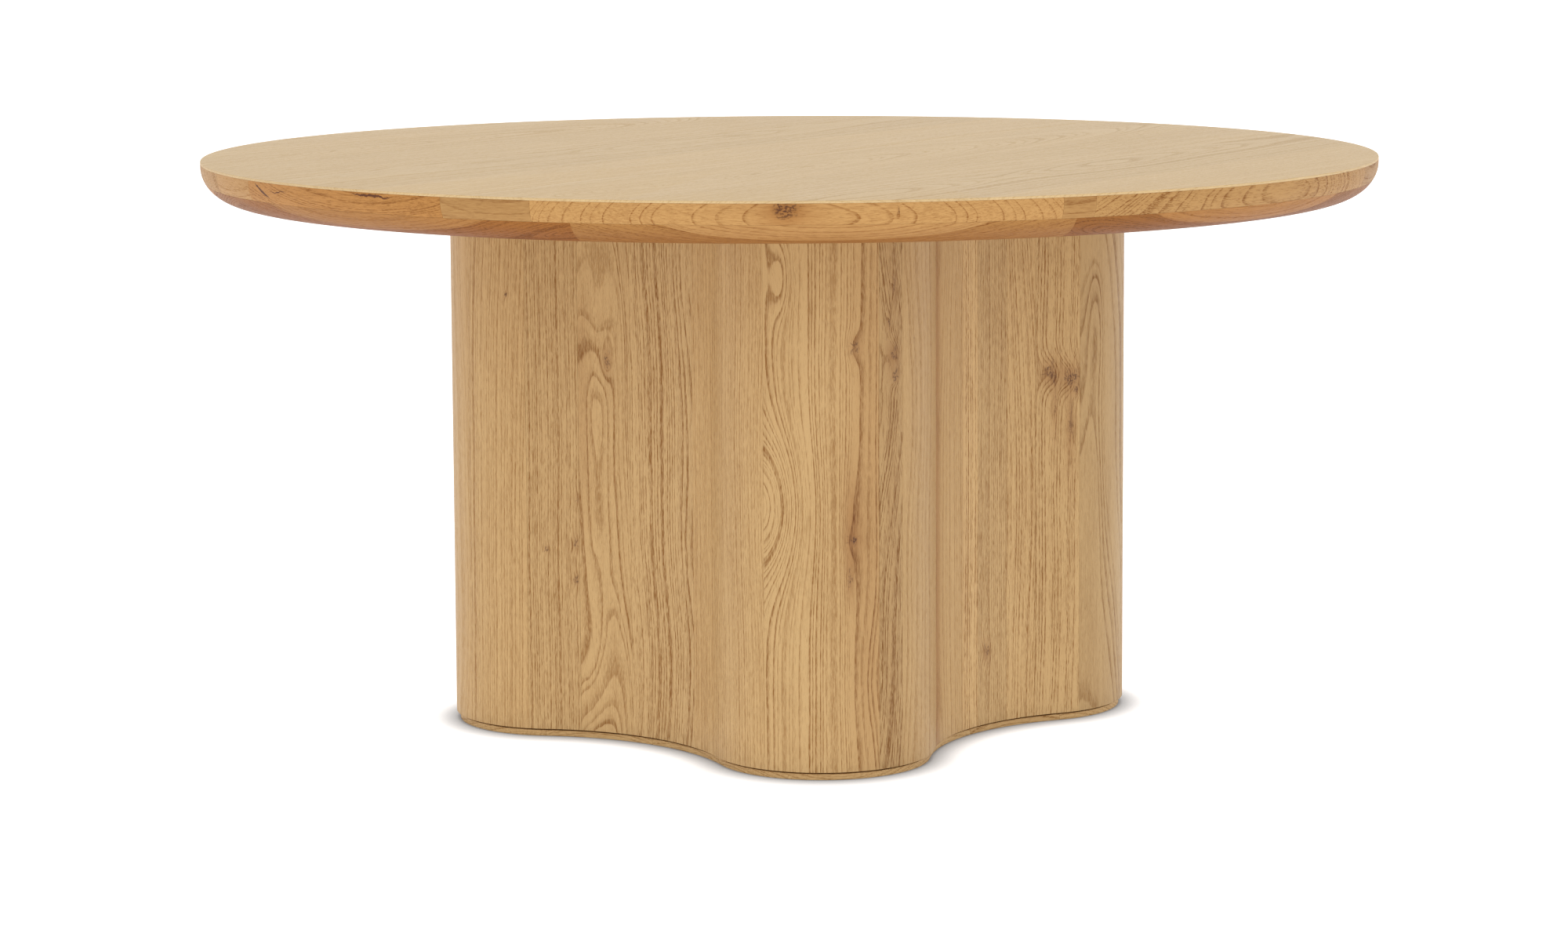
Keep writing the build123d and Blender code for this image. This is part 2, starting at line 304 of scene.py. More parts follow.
# %% The oak group: from a point of the board to its growth ring
oak_inputs = {
    "Board": ("Vector", None),
    "Seed": ("Float", 0.0),
    "Pith Across": ("Float", 0.0),
    "Pith Depth": ("Float", 0.07),
    "Lean Depth": ("Float", 0.0),
    "Wander": ("Float", 0.01),
    "Ring Width": ("Float", 0.004),
    "Ripple": ("Float", 0.002),
    "Push": ("Float", 0.0),
    "Thin Lines": ("Float", 1.0),
    "Streaks": ("Float", 1.0),
    "Contrast": ("Float", 1.0),
    "Light": ("Color", (0.7, 0.5, 0.3, 1)),
    "Dark": ("Color", (0.4, 0.2, 0.1, 1)),
}
oak_group, w, given, result = new_group("oak", oak_inputs, FINISH_OUTPUTS)
SEED_SPREAD = 7.31
seed = w.times(given["Seed"], SEED_SPREAD)
x, y, z = w.xyz(given["Board"])

# The pith drifts slowly along the board and may lean.
DRIFT_PER_METRE = 1.7
drift_colour = w.noise_along(w.times_plus(z, DRIFT_PER_METRE, seed))[1]
drift_across, drift_depth = [w.swing(part, 2.0) for part in w.xyz(drift_colour)[:2]]
across = w.minus(w.minus(x, given["Pith Across"]), w.times(given["Wander"], drift_across))
depth = w.plus(w.minus(given["Pith Depth"], y),
               w.times_plus(given["Lean Depth"], z, w.times(given["Wander"], drift_depth)))
radius = w.length(across, depth)

# Years differ, and every ring ripples a little.
SLOW_RIPPLE, QUICK_RIPPLE = 2.0, 0.45
YEAR_CHANGE, YEAR_SPREAD = 0.33, 3.0
slow_ripple = w.noise(w.scaled(given["Board"], (16, 16, 4)), 2.0, seed)
quick_ripple = w.noise(w.scaled(given["Board"], (85, 85, 11)), 1.0, seed)
ripple = w.swing(slow_ripple, SLOW_RIPPLE, w.swing(quick_ripple, QUICK_RIPPLE))
bent = w.plus(w.times_plus(ripple, given["Ripple"], radius), given["Push"])
even_years = w.over(bent, given["Ring Width"])
years = w.swing(w.noise_along(w.times_plus(even_years, YEAR_CHANGE, seed))[0], YEAR_SPREAD, even_years)
in_year = w.math("FRACT", years)
year_tone = w.add("ShaderNodeTexWhiteNoise", {"W": w.plus(w.math("FLOOR", years), seed)},
                  noise_dimensions="1D").outputs[0]

# %% The oak group: the rings, and the finer layers of the wood
YEAR_SHADES = ((0.0, 0.12), (0.10, 1.0), (0.24, 0.85), (0.46, 0.28), (0.80, 0.05), (1.0, 0.12))
ring_curve = w.add("ShaderNodeValToRGB", {0: w.math("MINIMUM", w.times(in_year, given["Thin Lines"]), 1.0)})
ramp = ring_curve.color_ramp
ramp.interpolation = "EASE"
for place, value in YEAR_SHADES:
    stop = ramp.elements.new(place) if 0 < place < 1 else ramp.elements[-1 if place else 0]
    stop.color = (value, value, value, 1)
early = ring_curve.outputs[0]
ring = w.times(early, w.times_plus(year_tone, 0.7, 0.3))

# Each layer: how often it changes in a metre, across, into the wood and along, and its detail.
LAYERS = (((520, 520, 24), 4.0), ((800, 800, 120), 2.0), ((110, 110, 7), 3.0), ((16, 16, 5), 2.0),
          ((1000, 1000, 100), 1.0))
streaks, fibre, broad, cloud, pore_noise = [
    w.noise(w.scaled(given["Board"], changes), detail, seed) for changes, detail in LAYERS]
pores = w.step(w.times_plus(early, 0.17, pore_noise), 0.61, 0.70)
RAYS_AROUND, RAYS_OUTWARDS, RAYS_ALONG = 240, 26, 60
sweep = w.math("ARCTAN2", across, depth)
ray_point = w.vector(w.times(sweep, RAYS_AROUND), w.times(bent, RAYS_OUTWARDS), w.times(z, RAYS_ALONG))
rays = w.step(w.noise(ray_point, 1.0, seed), 0.60, 0.70)

# %% The oak group: how much each layer darkens the wood
RING_SHADE = 0.70
PORE_SHADE = 0.38
STREAK_SHADE = 1.35
FIBRE_SHADE = 1.0
BROAD_SHADE = 0.42
CLOUD_SHADE = 0.50
RAY_SHADE = -0.14
MIDDLE_SHADE = 0.3

# The pores of a ring lie in a band of short dashes rather than in one even line.
dashes = w.times_plus(w.step(fibre, 0.36, 0.60), 0.55, 0.65)
small = w.swing(streaks, STREAK_SHADE, w.times(pores, PORE_SHADE))
small = w.swing(fibre, FIBRE_SHADE, small)
shade = w.times_plus(w.times(ring, dashes), RING_SHADE, w.times(small, given["Streaks"]))
shade = w.swing(broad, BROAD_SHADE, shade)
shade = w.swing(cloud, CLOUD_SHADE, shade)
shade = w.times_plus(rays, RAY_SHADE, shade)
shade = w.times_plus(w.minus(shade, MIDDLE_SHADE), given["Contrast"], MIDDLE_SHADE)
shade = w.math("MINIMUM", w.math("MAXIMUM", shade, 0.0), 1.0)
w.feed(result["Color"], w.mix(shade, given["Light"], given["Dark"]))
w.feed(result["Roughness"], w.times_plus(pores, 0.16, w.times_plus(streaks, 0.10, 0.42)))
w.feed(result["Height"], w.minus(w.times(ring, -0.35), pores))
print("oak group:", len(oak_group.nodes), "nodes")

# %% [markdown]
# ## Knots and shakes
# A knot is a branch that the trunk grew round, so it does two things: its own dark end shows, and
# the rings bend round it. The knot group gives an ellipse on the board's face, with a push that
# goes into the oak group and a dark that goes over the colour. With no ink it only bends the
# rings, and with stain it tints the wood round it; long ones with stain alone also serve as painted
# shade. A shake is a thin dark crack along the grain.

# %% The knot group
knot_inputs = {"Board": ("Vector", None), "Across": ("Float", 0.0), "Along": ("Float", 0.0),
               "Radius": ("Float", 0.01), "Stretch": ("Float", 1.5), "Bend": ("Float", 1.0),
               "Ink": ("Float", 1.0), "Stain And Shade": ("Float", 0.5), "Seed": ("Float", 0.0)}
knot_group, w, given, result = new_group(
    "knot", knot_inputs, {"Push": "Float", "Dark": "Float", "Halo": "Float"})
x, _, z = w.xyz(given["Board"])
dx = w.over(w.minus(x, given["Across"]), given["Radius"])
dz = w.over(w.minus(z, given["Along"]), w.times(given["Radius"], given["Stretch"]))
far = w.length(dx, dz)

# The knot's end has a frayed outline, and is speckled and ringed inside it.
FRAY = 3.2
WHORLS = 1.9
fray = w.noise(w.scaled(given["Board"], (150, 150, 75)), 4.0, given["Seed"])
edge = w.swing(fray, FRAY, far)
core = w.step(edge, 1.0, 0.45)
speckle = w.step(w.noise(w.scaled(given["Board"], (520, 520, 300)), 2.0, given["Seed"]), 0.48, 0.58)
whorl = w.step(w.math("PINGPONG", w.times(edge, WHORLS), 0.5), 0.20, 0.42)
marks = w.times_plus(speckle, 0.66, w.times_plus(whorl, 0.22, 0.12))

# Short cracks run out of it like spokes.
SPOKES_AROUND, SPOKES_OUTWARDS = 2.2, 0.35
around = w.math("ARCTAN2", dx, dz)
spoke_point = w.vector(w.times(around, SPOKES_AROUND), w.times(far, SPOKES_OUTWARDS), 0.0)
spokes = w.noise(spoke_point, 2.0, given["Seed"])
cracks = w.times(w.step(spokes, 0.60, 0.66), w.step(far, 2.1, 0.7))
inked = w.math("MAXIMUM", w.times(core, marks), w.times(cracks, 0.7))
w.feed(result["Dark"], w.times(given["Ink"], inked))

# The stain and the push fade away with the square of the distance.
STAIN_FALL = -0.30
PUSH_FALL = -0.22
square = w.times(far, far)
w.feed(result["Halo"], w.times(given["Stain And Shade"], w.math("EXPONENT", w.times(square, STAIN_FALL))))
w.feed(result["Push"], w.times(w.math("EXPONENT", w.times(square, PUSH_FALL)),
                               w.times(given["Radius"], given["Bend"])))
print("knot group:", len(knot_group.nodes), "nodes")

# %% The shake group
shake_inputs = {"Board": ("Vector", None), "Across": ("Float", 0.0), "Along": ("Float", 0.0),
                "Length": ("Float", 0.05), "Width": ("Float", 0.001), "Slope": ("Float", 0.0),
                "Seed": ("Float", 0.0)}
shake_group, w, given, result = new_group("shake", shake_inputs, {"Dark": "Float"})
x, _, z = w.xyz(given["Board"])
from_middle = w.minus(z, given["Along"])
WOBBLE = 0.010
wobble = w.swing(w.noise(w.scaled(given["Board"], (0, 0, 75)), 3.0, given["Seed"]), WOBBLE)
off_line = w.minus(w.minus(x, given["Across"]), w.times_plus(given["Slope"], from_middle, wobble))
share = w.over(from_middle, w.times(given["Length"], 0.5))
taper = w.minus(1.0, w.times(share, share))
swell = w.times_plus(w.noise(w.scaled(given["Board"], (0, 0, 160)), 2.0, given["Seed"]), 1.6, 0.1)
half_width = w.times(w.times(given["Width"], swell), taper)
w.feed(result["Dark"], w.step(w.minus(half_width, w.math("ABSOLUTE", off_line)), -0.0003, 0.0004))
print("shake group:", len(shake_group.nodes), "nodes")

# %% [markdown]
# ## One material for each board
# Every board comes from its own log, so every board gets its own material: the same groups, with
# its own pith, seed, tone and knots. A Mapping node turns the table's coordinates into the board's:
# across the face, into the wood, and along the grain. It is set to Texture, which takes the
# board's place and turn away, rather than adding them.

# %% Board coordinates and the oak material
KNOT_BROWN = (0.090, 0.032, 0.012, 1)
SHAKE_BROWN = (0.105, 0.034, 0.012, 1)
STAIN_AND_SHADE_TINT = (0.70, 0.56, 0.42, 1)

def board_space(origin, into_wood, along_grain):
    """Place and turn of a board: x across its face, y into the wood, z along the grain."""
    across = into_wood.cross(along_grain)
    turn = Matrix((across, into_wood, along_grain)).transposed().to_euler()
    return origin, turn

def knot(across, along, radius, stretch=1.5, bend=1.0, ink=1.0, stain_and_shade=0.5):
    """A knot: its place and radius on the board, how it bends and darkens the wood, and its stain, which also
    serves as painted shade.
    """
    return {"Across": across, "Along": along, "Radius": radius, "Stretch": stretch, "Bend": bend, "Ink": ink,
            "Stain And Shade": stain_and_shade, "Seed": 10 + 100 * across + 7 * along}

def shake(across, along, length, width=0.001, slope=0.0):
    """A crack along the grain: where its middle is, how long and wide it is and how it slants."""
    return {"Across": across, "Along": along, "Length": length, "Width": width, "Slope": slope,
            "Seed": 3 + 100 * across + 9 * along}

def oak_material(name, space, sizes, light, dark, tone=1.0, marks=(), bump=0.00025, shine=0.35):
    """Oak for one board. sizes are values of the oak group, and marks are knots and shakes."""
    material = bpy.data.materials.new(name)
    material.use_nodes = True
    w = Wiring(material.node_tree)
    skin = material.node_tree.nodes["Principled BSDF"]
    place, turn = space
    object_point = w.add("ShaderNodeTexCoord").outputs["Object"]
    board = w.add("ShaderNodeMapping", {"Vector": object_point, "Location": place, "Rotation": turn},
                  vector_type="TEXTURE").outputs[0]
    grain = w.add("ShaderNodeGroup", node_tree=oak_group)
    w.feed(grain.inputs["Board"], board)
    for key, value in sizes.items():
        w.feed(grain.inputs[key], value)
    w.feed(grain.inputs["Light"], (*[c * tone for c in light], 1))
    w.feed(grain.inputs["Dark"], (*[c * tone for c in dark], 1))
    colour = grain.outputs["Color"]
    push = None
    for mark in marks:
        is_knot = "Radius" in mark
        made = w.add("ShaderNodeGroup", node_tree=knot_group if is_knot else shake_group)
        w.feed(made.inputs["Board"], board)
        for key, value in mark.items():
            w.feed(made.inputs[key], value)
        if is_knot:
            push = made.outputs["Push"] if push is None else w.plus(push, made.outputs["Push"])
            # The halo tints the wood: real stain round a knot, and painted shade where a long knot of stain
            # alone stands for it.
            colour = w.mix(made.outputs["Halo"], colour, w.mix(1.0, colour, STAIN_AND_SHADE_TINT, "MULTIPLY"))
        colour = w.mix(made.outputs["Dark"], colour, KNOT_BROWN if is_knot else SHAKE_BROWN)
    if push is not None:
        w.feed(grain.inputs["Push"], push)
    w.feed(skin.inputs["Base Color"], colour)
    w.feed(skin.inputs["Roughness"], grain.outputs["Roughness"])
    skin.inputs["Specular IOR Level"].default_value = shine
    relief = w.add("ShaderNodeBump", {"Height": grain.outputs["Height"], "Strength": 0.6, "Distance": bump})
    w.feed(skin.inputs["Normal"], relief.outputs[0])
    return material

# %% [markdown]
# ## Boards that follow a path
# The upright staves, the plinth and both courses of the edge are all one rule: take a stretch of a
# path, and draw a section along it. A Geometry Nodes tree does that for all of them. Its inputs
# are the path, the section, and where the board starts and ends. Modelling 65 curved boards by
# hand would give the same shapes, and would have to be done again whenever a radius changes.

# %% The swept board tree
sweep_tree, w, given, result = new_group(
    "swept_board",
    {"Geometry": ("Geometry", None), "Path": ("Object", None), "Section": ("Object", None),
     "Start": ("Float", 0.0), "End": ("Float", 0.1), "Step": ("Float", 0.005), "Wood": ("Material", None)},
    {"Geometry": "Geometry"}, "GeometryNodeTree")
path = w.add("GeometryNodeObjectInfo", {"Object": given["Path"]}).outputs["Geometry"]
section = w.add("GeometryNodeObjectInfo", {"Object": given["Section"]}).outputs["Geometry"]
trim = w.add("GeometryNodeTrimCurve", mode="LENGTH")
w.feed(trim.inputs["Curve"], path)
# In this mode the trim's sockets 4 and 5 are the lengths where it starts and ends.
w.feed(trim.inputs[4], given["Start"])
w.feed(trim.inputs[5], given["End"])
even = w.add("GeometryNodeResampleCurve", mode="LENGTH")
w.feed(even.inputs["Curve"], trim.outputs[0])
w.feed(even.inputs["Length"], given["Step"])
upright = w.add("GeometryNodeSetCurveNormal", {"Curve": even.outputs[0]}, mode="Z_UP")
swept = w.add("GeometryNodeCurveToMesh", {"Curve": upright.outputs[0], "Profile Curve": section})
w.feed(swept.inputs["Fill Caps"], True)
real = w.add("GeometryNodeRealizeInstances", {"Geometry": swept.outputs[0]})
coated = w.add("GeometryNodeSetMaterial", {"Geometry": real.outputs[0], "Material": given["Wood"]})
w.feed(result["Geometry"], coated.outputs[0])
SWEEP_INPUTS = {item.name: item.identifier for item in sweep_tree.interface.items_tree
                if item.in_out == "INPUT"}
print("sweep inputs:", list(SWEEP_INPUTS))

# %% Curves for paths and sections, and the finished board
def make_curve(name, points, closed):
    """A curve object of straight runs through the points."""
    data = bpy.data.curves.new(name, "CURVE")
    data.dimensions = "3D"
    spline = data.splines.new("POLY")
    spline.points.add(len(points) - 1)
    for slot, point in zip(spline.points, points):
        slot.co = (*point, 1)
    spline.use_cyclic_u = closed
    return add_object(name, data)

def make_section(name, points):
    """A closed section from points (outwards from the path, height); the sweep turns -y to up."""
    return make_curve(name, [(out, -height, 0) for out, height in points], True)

SOFT_EDGE = 0.0004
MERGE_DISTANCE = 1e-6
SMOOTH_BELOW = radians(30)
ROUND_ABOVE = radians(40)

def finish_mesh(piece, soften=SOFT_EDGE):
    """Points the faces outwards, rounds the sharp edges a little and shades the curves smooth."""
    piece.modifiers.clear()
    work = bmesh.new()
    work.from_mesh(piece.data)
    bmesh.ops.remove_doubles(work, verts=work.verts, dist=MERGE_DISTANCE)
    bmesh.ops.recalc_face_normals(work, faces=work.faces)
    work.to_mesh(piece.data)
    work.free()
    for face in piece.data.polygons:
        face.use_smooth = True
    piece.data.set_sharp_from_angle(angle=SMOOTH_BELOW)
    rounding = piece.modifiers.new("soft_edges", "BEVEL")
    rounding.width = soften
    rounding.segments = 2
    rounding.limit_method = "ANGLE"
    rounding.angle_limit = ROUND_ABOVE
    rounding.harden_normals = True

def settle(piece, slot_name, *stands_for):
    """Hangs a finished piece on the table's body and hides the CAD nodes that it stands for; slot_name, which
    names its finish, is not used.
    """
    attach(piece, "table")
    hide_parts(*stands_for)

def paint(name, material):
    """Gives a CAD node, whose shape stays, its finished material."""
    mesh = nodes[name].data
    for place in range(len(mesh.materials)):
        mesh.materials[place] = material

def sweep_board(name, path, section, start, end, step, wood):
    """One board drawn along a stretch of a path, as a plain mesh object."""
    holder = add_object("holder", bpy.data.meshes.new("holder"))
    modifier = holder.modifiers.new("sweep", "NODES")
    modifier.node_group = sweep_tree
    values = {"Path": path, "Section": section, "Start": start, "End": end, "Step": step, "Wood": wood}
    for key, value in values.items():
        modifier[SWEEP_INPUTS[key]] = value
    mesh = bpy.data.meshes.new_from_object(holder.evaluated_get(bpy.context.evaluated_depsgraph_get()))
    bpy.data.objects.remove(holder)
    piece = add_object(name, mesh)
    finish_mesh(piece)
    return piece

# %% [markdown]
# ## Staves
# The pedestal's wall is made of upright oak boards of mixed width, planed to the curve after they
# are glued. No two are alike: some are cut on the quarter and show straight lines, some show
# arches, and one has an eye. A few named cuts cover them, and each stave adds its seed, its
# tone and its knots.

# %% A way of cutting a board from the log
def cut(pith_across, pith_depth, wander, ring_width, ripple, contrast, lean_depth=0.0, thin_lines=1.0):
    """Sizes for the oak group: where the pith runs, and what its rings look like."""
    return {"Pith Across": pith_across, "Pith Depth": pith_depth, "Wander": wander,
            "Ring Width": ring_width, "Ripple": ripple, "Contrast": contrast,
            "Lean Depth": lean_depth, "Thin Lines": thin_lines}

# %% The cuts of the pedestal and its colours
CUTS = {
    "quarter": cut(0.16, 0.05, 0.006, 0.0034, 0.0010, 0.62),
    "rift": cut(0.10, 0.09, 0.012, 0.0042, 0.0018, 0.70),
    "arched": cut(0.005, 0.045, 0.024, 0.0044, 0.0032, 0.85, lean_depth=0.10),
    "plain": cut(-0.05, 0.12, 0.014, 0.0056, 0.0024, 0.42),
}
PEDESTAL_LIGHT = (0.525, 0.338, 0.145)
PEDESTAL_DARK = (0.225, 0.090, 0.010)
print("cuts:", list(CUTS))

# %% What each stave looks like; the boards at the back take turns with a few plain looks
def look(kind, tone, marks, **changes):
    """What one stave looks like: a cut with a few changes, its tone and its marks."""
    changed = {key.replace("_", " ").title(): value for key, value in changes.items()}
    return {**CUTS[kind], **changed}, tone, marks

STAVES = {
    1: look("arched", 1.0, [
        knot(-0.067, 0.336, 0.0200, 2.0, -3.1, 0.0, 0.0), knot(-0.047, 0.616, 0.0062, 3.6, -3.0, 0.0, 0.0),
        knot(0.042, 0.532, 0.0050, 1.7, 1.8, 0.75, 0.6), knot(0.038, 0.310, 0.0065, 5.5, 1.2, 0.0, 0.9),
        knot(0.0385, 0.296, 0.0052, 1.3, 1.2, 1.0, 0.5), knot(0.034, 0.250, 0.0026, 6.0, 0.8, 0.85, 0.5),
        knot(0.066, 0.32, 0.020, 11.0, 0.2, 0.0, 0.55), knot(0.052, 0.12, 0.012, 4.0, 0.9, 0.0, 0.2)],
        pith_across=-0.078, pith_depth=0.060, lean_depth=0.0, wander=0.003, ring_width=0.0054,
        ripple=0.0022, contrast=1.10, streaks=0.40),
    2: look("rift", 0.87, [
        knot(-0.0034, 0.560, 0.0016, 4.0, 2.0), knot(0.0025, 0.5195, 0.0060, 1.5, 1.6, 0.7, 0.8),
        knot(0.006, 0.495, 0.0040, 1.5, 2.0), knot(0.005, 0.603, 0.0024, 3.0, 2.0),
        knot(0.0, 0.33, 0.012, 25.0, 0.2, 0.0, 0.35)],
        ripple=0.0050, wander=0.03, contrast=0.95),
    3: look("plain", 0.94, [
        knot(-0.0353, 0.538, 0.0009, 6.0, 1.0, 1.0, 0.0), knot(-0.021, 0.506, 0.0007, 6.0, 1.0, 1.0, 0.0)]),
    # Stave 4's long knot of stain alone is painted shade: the dark band in the hollow just past the front
    # lobe's edge.
    4: look("plain", 1.0, [knot(-0.044, 0.35, 0.0105, 60.0, 0.0, 0.0, 1.0)], contrast=0.40),
    5: look("quarter", 1.06, [knot(-0.03, 0.30, 0.010, 30.0, 0.0, 0.0, 0.3)],
            contrast=1.0, ring_width=0.0052),
    6: look("quarter", 0.93, [knot(-0.0099, 0.104, 0.0048, 1.8, 1.5, 1.0, 0.8)],
            ripple=0.0018, contrast=0.8),
    7: look("rift", 1.0, [], contrast=0.8),
    8: look("rift", 0.97, [
        knot(-0.0104, 0.458, 0.0090, 1.2, 1.5, 0.9, 0.8), knot(0.0203, 0.4515, 0.0095, 1.2, 1.5, 0.9, 0.8),
        knot(0.0275, 0.434, 0.0030, 1.5, 1.0, 1.0, 0.5), knot(0.018, 0.385, 0.0040, 7.0, 0.9, 0.5, 0.7),
        knot(-0.004, 0.41, 0.0030, 7.0, 0.9, 0.4, 0.6)],
        ripple=0.0030, contrast=0.9),
    9: look("arched", 0.85, [
        knot(-0.024, 0.520, 0.0080, 6.0, -2.2, 0.0, 0.0), knot(-0.030, 0.300, 0.0080, 7.0, -2.2, 0.0, 0.0)],
        pith_across=-0.030, pith_depth=0.055, ring_width=0.0080, contrast=0.85, streaks=0.5),
    23: look("plain", 1.06, [], contrast=0.32),
    24: look("rift", 1.03, [knot(0.0227, 0.570, 0.0020, 1.6, 1.0)], contrast=0.50, ripple=0.0012),
    25: look("quarter", 0.97, [
        knot(-0.0093, 0.2443, 0.0024), knot(0.0285, 0.2504, 0.0036), knot(0.0295, 0.205, 0.0030),
        knot(0.0330, 0.3093, 0.0024, 2.0)],
        contrast=0.70),
    26: look("arched", 1.0, [
        knot(0.0035, 0.489, 0.0036, 3.0, 2.0, 0.8, 0.8), knot(-0.018, 0.10, 0.014, 4.0, 1.2, 0.0, 0.0),
        knot(-0.030, 0.42, 0.006, 14.0, 0.5, 0.0, 0.35), knot(-0.010, 0.55, 0.010, 4.0, 1.0, 0.0, 0.0)],
        wander=0.020, pith_across=-0.016, ring_width=0.0038, contrast=0.80, lean_depth=0.05, streaks=0.65),
    27: look("rift", 0.99, [], wander=0.028, ripple=0.0036, ring_width=0.0048, contrast=0.90),
    # Stave 28's tone is raised: painted light against the shade of the hollow left of the front lobe.
    28: look("quarter", 1.05, [], contrast=0.55),
    29: look("rift", 1.02, [], ring_width=0.0036, contrast=0.55),
}
BACK_CUTS = ("rift", "arched", "quarter", "rift", "plain")
BACK_TONES = (0.94, 1.00, 1.06, 0.97, 1.03)
print("staves with a look of their own:", len(STAVES))

# %% Make the staves
PATH_STEP = 0.002
PATH_OVERLAP = 0.2
BOARD_STEP = 0.004
UP = Vector((0, 0, 1))
path_steps = round((OUTLINE_LENGTH + PATH_OVERLAP) / PATH_STEP)
outline_path = make_curve("outline_path", [outline_point(k * PATH_STEP)[0] for k in range(path_steps)], False)
stave_section = make_section("stave_section", [(0, PLINTH_Z), (0, UNDER_Z), (-STAVE_THICKNESS, UNDER_Z),
                                               (-STAVE_THICKNESS, PLINTH_Z)])
for number, name in enumerate(stave_names, start=1):
    start, end = stave_spans[name]
    turn_taken = number % len(BACK_CUTS)
    sizes, tone, marks = STAVES.get(number, (CUTS[BACK_CUTS[turn_taken]], BACK_TONES[turn_taken], []))
    point, out = outline_point((start + end) / 2)
    wood = oak_material(f"oak_{name}", board_space(point, -out, UP), {**sizes, "Seed": float(number)},
                        PEDESTAL_LIGHT, PEDESTAL_DARK, tone, marks)
    begin = start % OUTLINE_LENGTH
    piece = sweep_board(f"board_{name}", outline_path, stave_section, begin, begin + end - start,
                        BOARD_STEP, wood)
    settle(piece, "oak_pedestal", name)
print("staves made:", len(stave_names))

# %% [markdown]
# ## Plinth
# A thin band of oak, set back 5 mm, lifts the pedestal off the floor and throws a shadow line
# under it. It is bent from straight strips, one under each lobe and two under each hollow, so it
# is the same sweep again, with a lower section and the grain lying along it.

# %% Make the plinth
PLINTH_GAP = 0.0001
# The plinth's oak is 1.22 times paler than the staves': painted light that lifts the band out of the shade
# under the staves.
PLINTH_PAINTED_LIFT = 1.22
REBATE_HEIGHT = 0.0026
REBATE_DEPTH = 0.012
plinth_section = make_section("plinth_section", [
    (-PLINTH_RECESS, 0), (-PLINTH_RECESS, PLINTH_Z - REBATE_HEIGHT),
    (-REBATE_DEPTH, PLINTH_Z - REBATE_HEIGHT), (-REBATE_DEPTH, PLINTH_Z),
    (-PLINTH_RECESS - PLINTH_WIDTH, PLINTH_Z), (-PLINTH_RECESS - PLINTH_WIDTH, 0)])
count = 0
for lobe in range(LOBES):
    start = lobe * LOBE_PITCH - LOBE_RUN / 2
    for length in (LOBE_RUN, VALLEY_RUN / 2, VALLEY_RUN / 2):
        begin = (start + PLINTH_GAP / 2) % OUTLINE_LENGTH
        point, out = outline_point(start + length / 2)
        count += 1
        wood = oak_material(f"oak_plinth_{count}", board_space(point, -out, UP.cross(out)),
                            {**CUTS["rift"], "Seed": 50.0 + count, "Contrast": 0.6},
                            PEDESTAL_LIGHT, PEDESTAL_DARK, PLINTH_PAINTED_LIFT)
        piece = sweep_board(f"plinth_{count}", outline_path, plinth_section, begin,
                            begin + length - PLINTH_GAP, BOARD_STEP, wood)
        settle(piece, "oak_plinth", "plinth")
        start += length
print("plinth pieces:", count)

# %% [markdown]
# ## The built-up edge
# The top looks 53 mm thick, but only its rim is. Two courses of oak are glued round a flat core
# and turned to one rounded profile: a quarter of an ellipse, from a short upright land to the
# flat underside. The upper course is long curved segments with short blocks between them.
# The grain of each runs straight, along the tangent at its middle, so towards its ends the
# turned face cuts across the rings and they show as slanted dashes.

# %% Sections of the two courses
ROUND_STEPS = 20
SEAM_CLEARANCE = 0.0005
RIM_STEPS = 2400
RIM_PATH_START = -tau / 6
BACK = RIM_INNER_RADIUS - TOP_RADIUS
round_height = LAND_Z - UNDER_Z
rim_curve = []
for k in range(ROUND_STEPS + 1):
    turn = radians(90) * k / ROUND_STEPS
    rim_curve.append((-UNDERCUT * (1 - sin(turn)), LAND_Z - round_height * cos(turn)))
seam_reach = -UNDERCUT * (1 - sqrt(1 - ((LAND_Z - COURSE_Z) / round_height) ** 2))
above_seam = [p for p in rim_curve if p[1] > COURSE_Z + SEAM_CLEARANCE]
below_seam = [p for p in rim_curve if p[1] < COURSE_Z - SEAM_CLEARANCE]
upper_section = make_section("upper_section", [(BACK, COURSE_Z), (seam_reach, COURSE_Z), *above_seam,
                                               (0, FACE_Z), (BACK, FACE_Z)])
lower_section = make_section("lower_section", [*below_seam, (seam_reach, COURSE_Z), (BACK, COURSE_Z),
                                               (BACK, UNDER_Z)])
rim_turns = [FRONT + tau * k / RIM_STEPS for k in range(-RIM_STEPS // 6, RIM_STEPS + 1)]
rim_path = make_curve("rim_path", [polar(TOP_RADIUS, turn) for turn in rim_turns], False)
print("seam of the courses at radius", round(TOP_RADIUS + seam_reach, 4))

# %% A board of the rim
EDGE_LIGHT = (0.462, 0.256, 0.090)
EDGE_DARK = (0.215, 0.076, 0.012)
RED_LIGHT = (0.440, 0.205, 0.055)
EDGE_SHINE = 0.15
RIM_STEP = 0.005

def tangent_space(out, height):
    """Board space at the rim, facing out, with its grain along the tangent there."""
    return board_space(out * TOP_RADIUS + UP * height, -out, UP.cross(out))

def rim_board(name, section, start, end, sizes, seed, tone, marks, light=EDGE_LIGHT):
    """A board between two angles from the front, its grain along the tangent at its middle."""
    out = polar(1, FRONT + (start + end) / 2)
    wood = oak_material(f"oak_{name}", tangent_space(out, (COURSE_Z + FACE_Z) / 2), {**sizes, "Seed": seed},
                        light, EDGE_DARK, tone, marks, shine=EDGE_SHINE)
    begin = (start - RIM_PATH_START) % tau
    return sweep_board(name, rim_path, section, begin * TOP_RADIUS, (begin + end - start) * TOP_RADIUS,
                       RIM_STEP, wood)

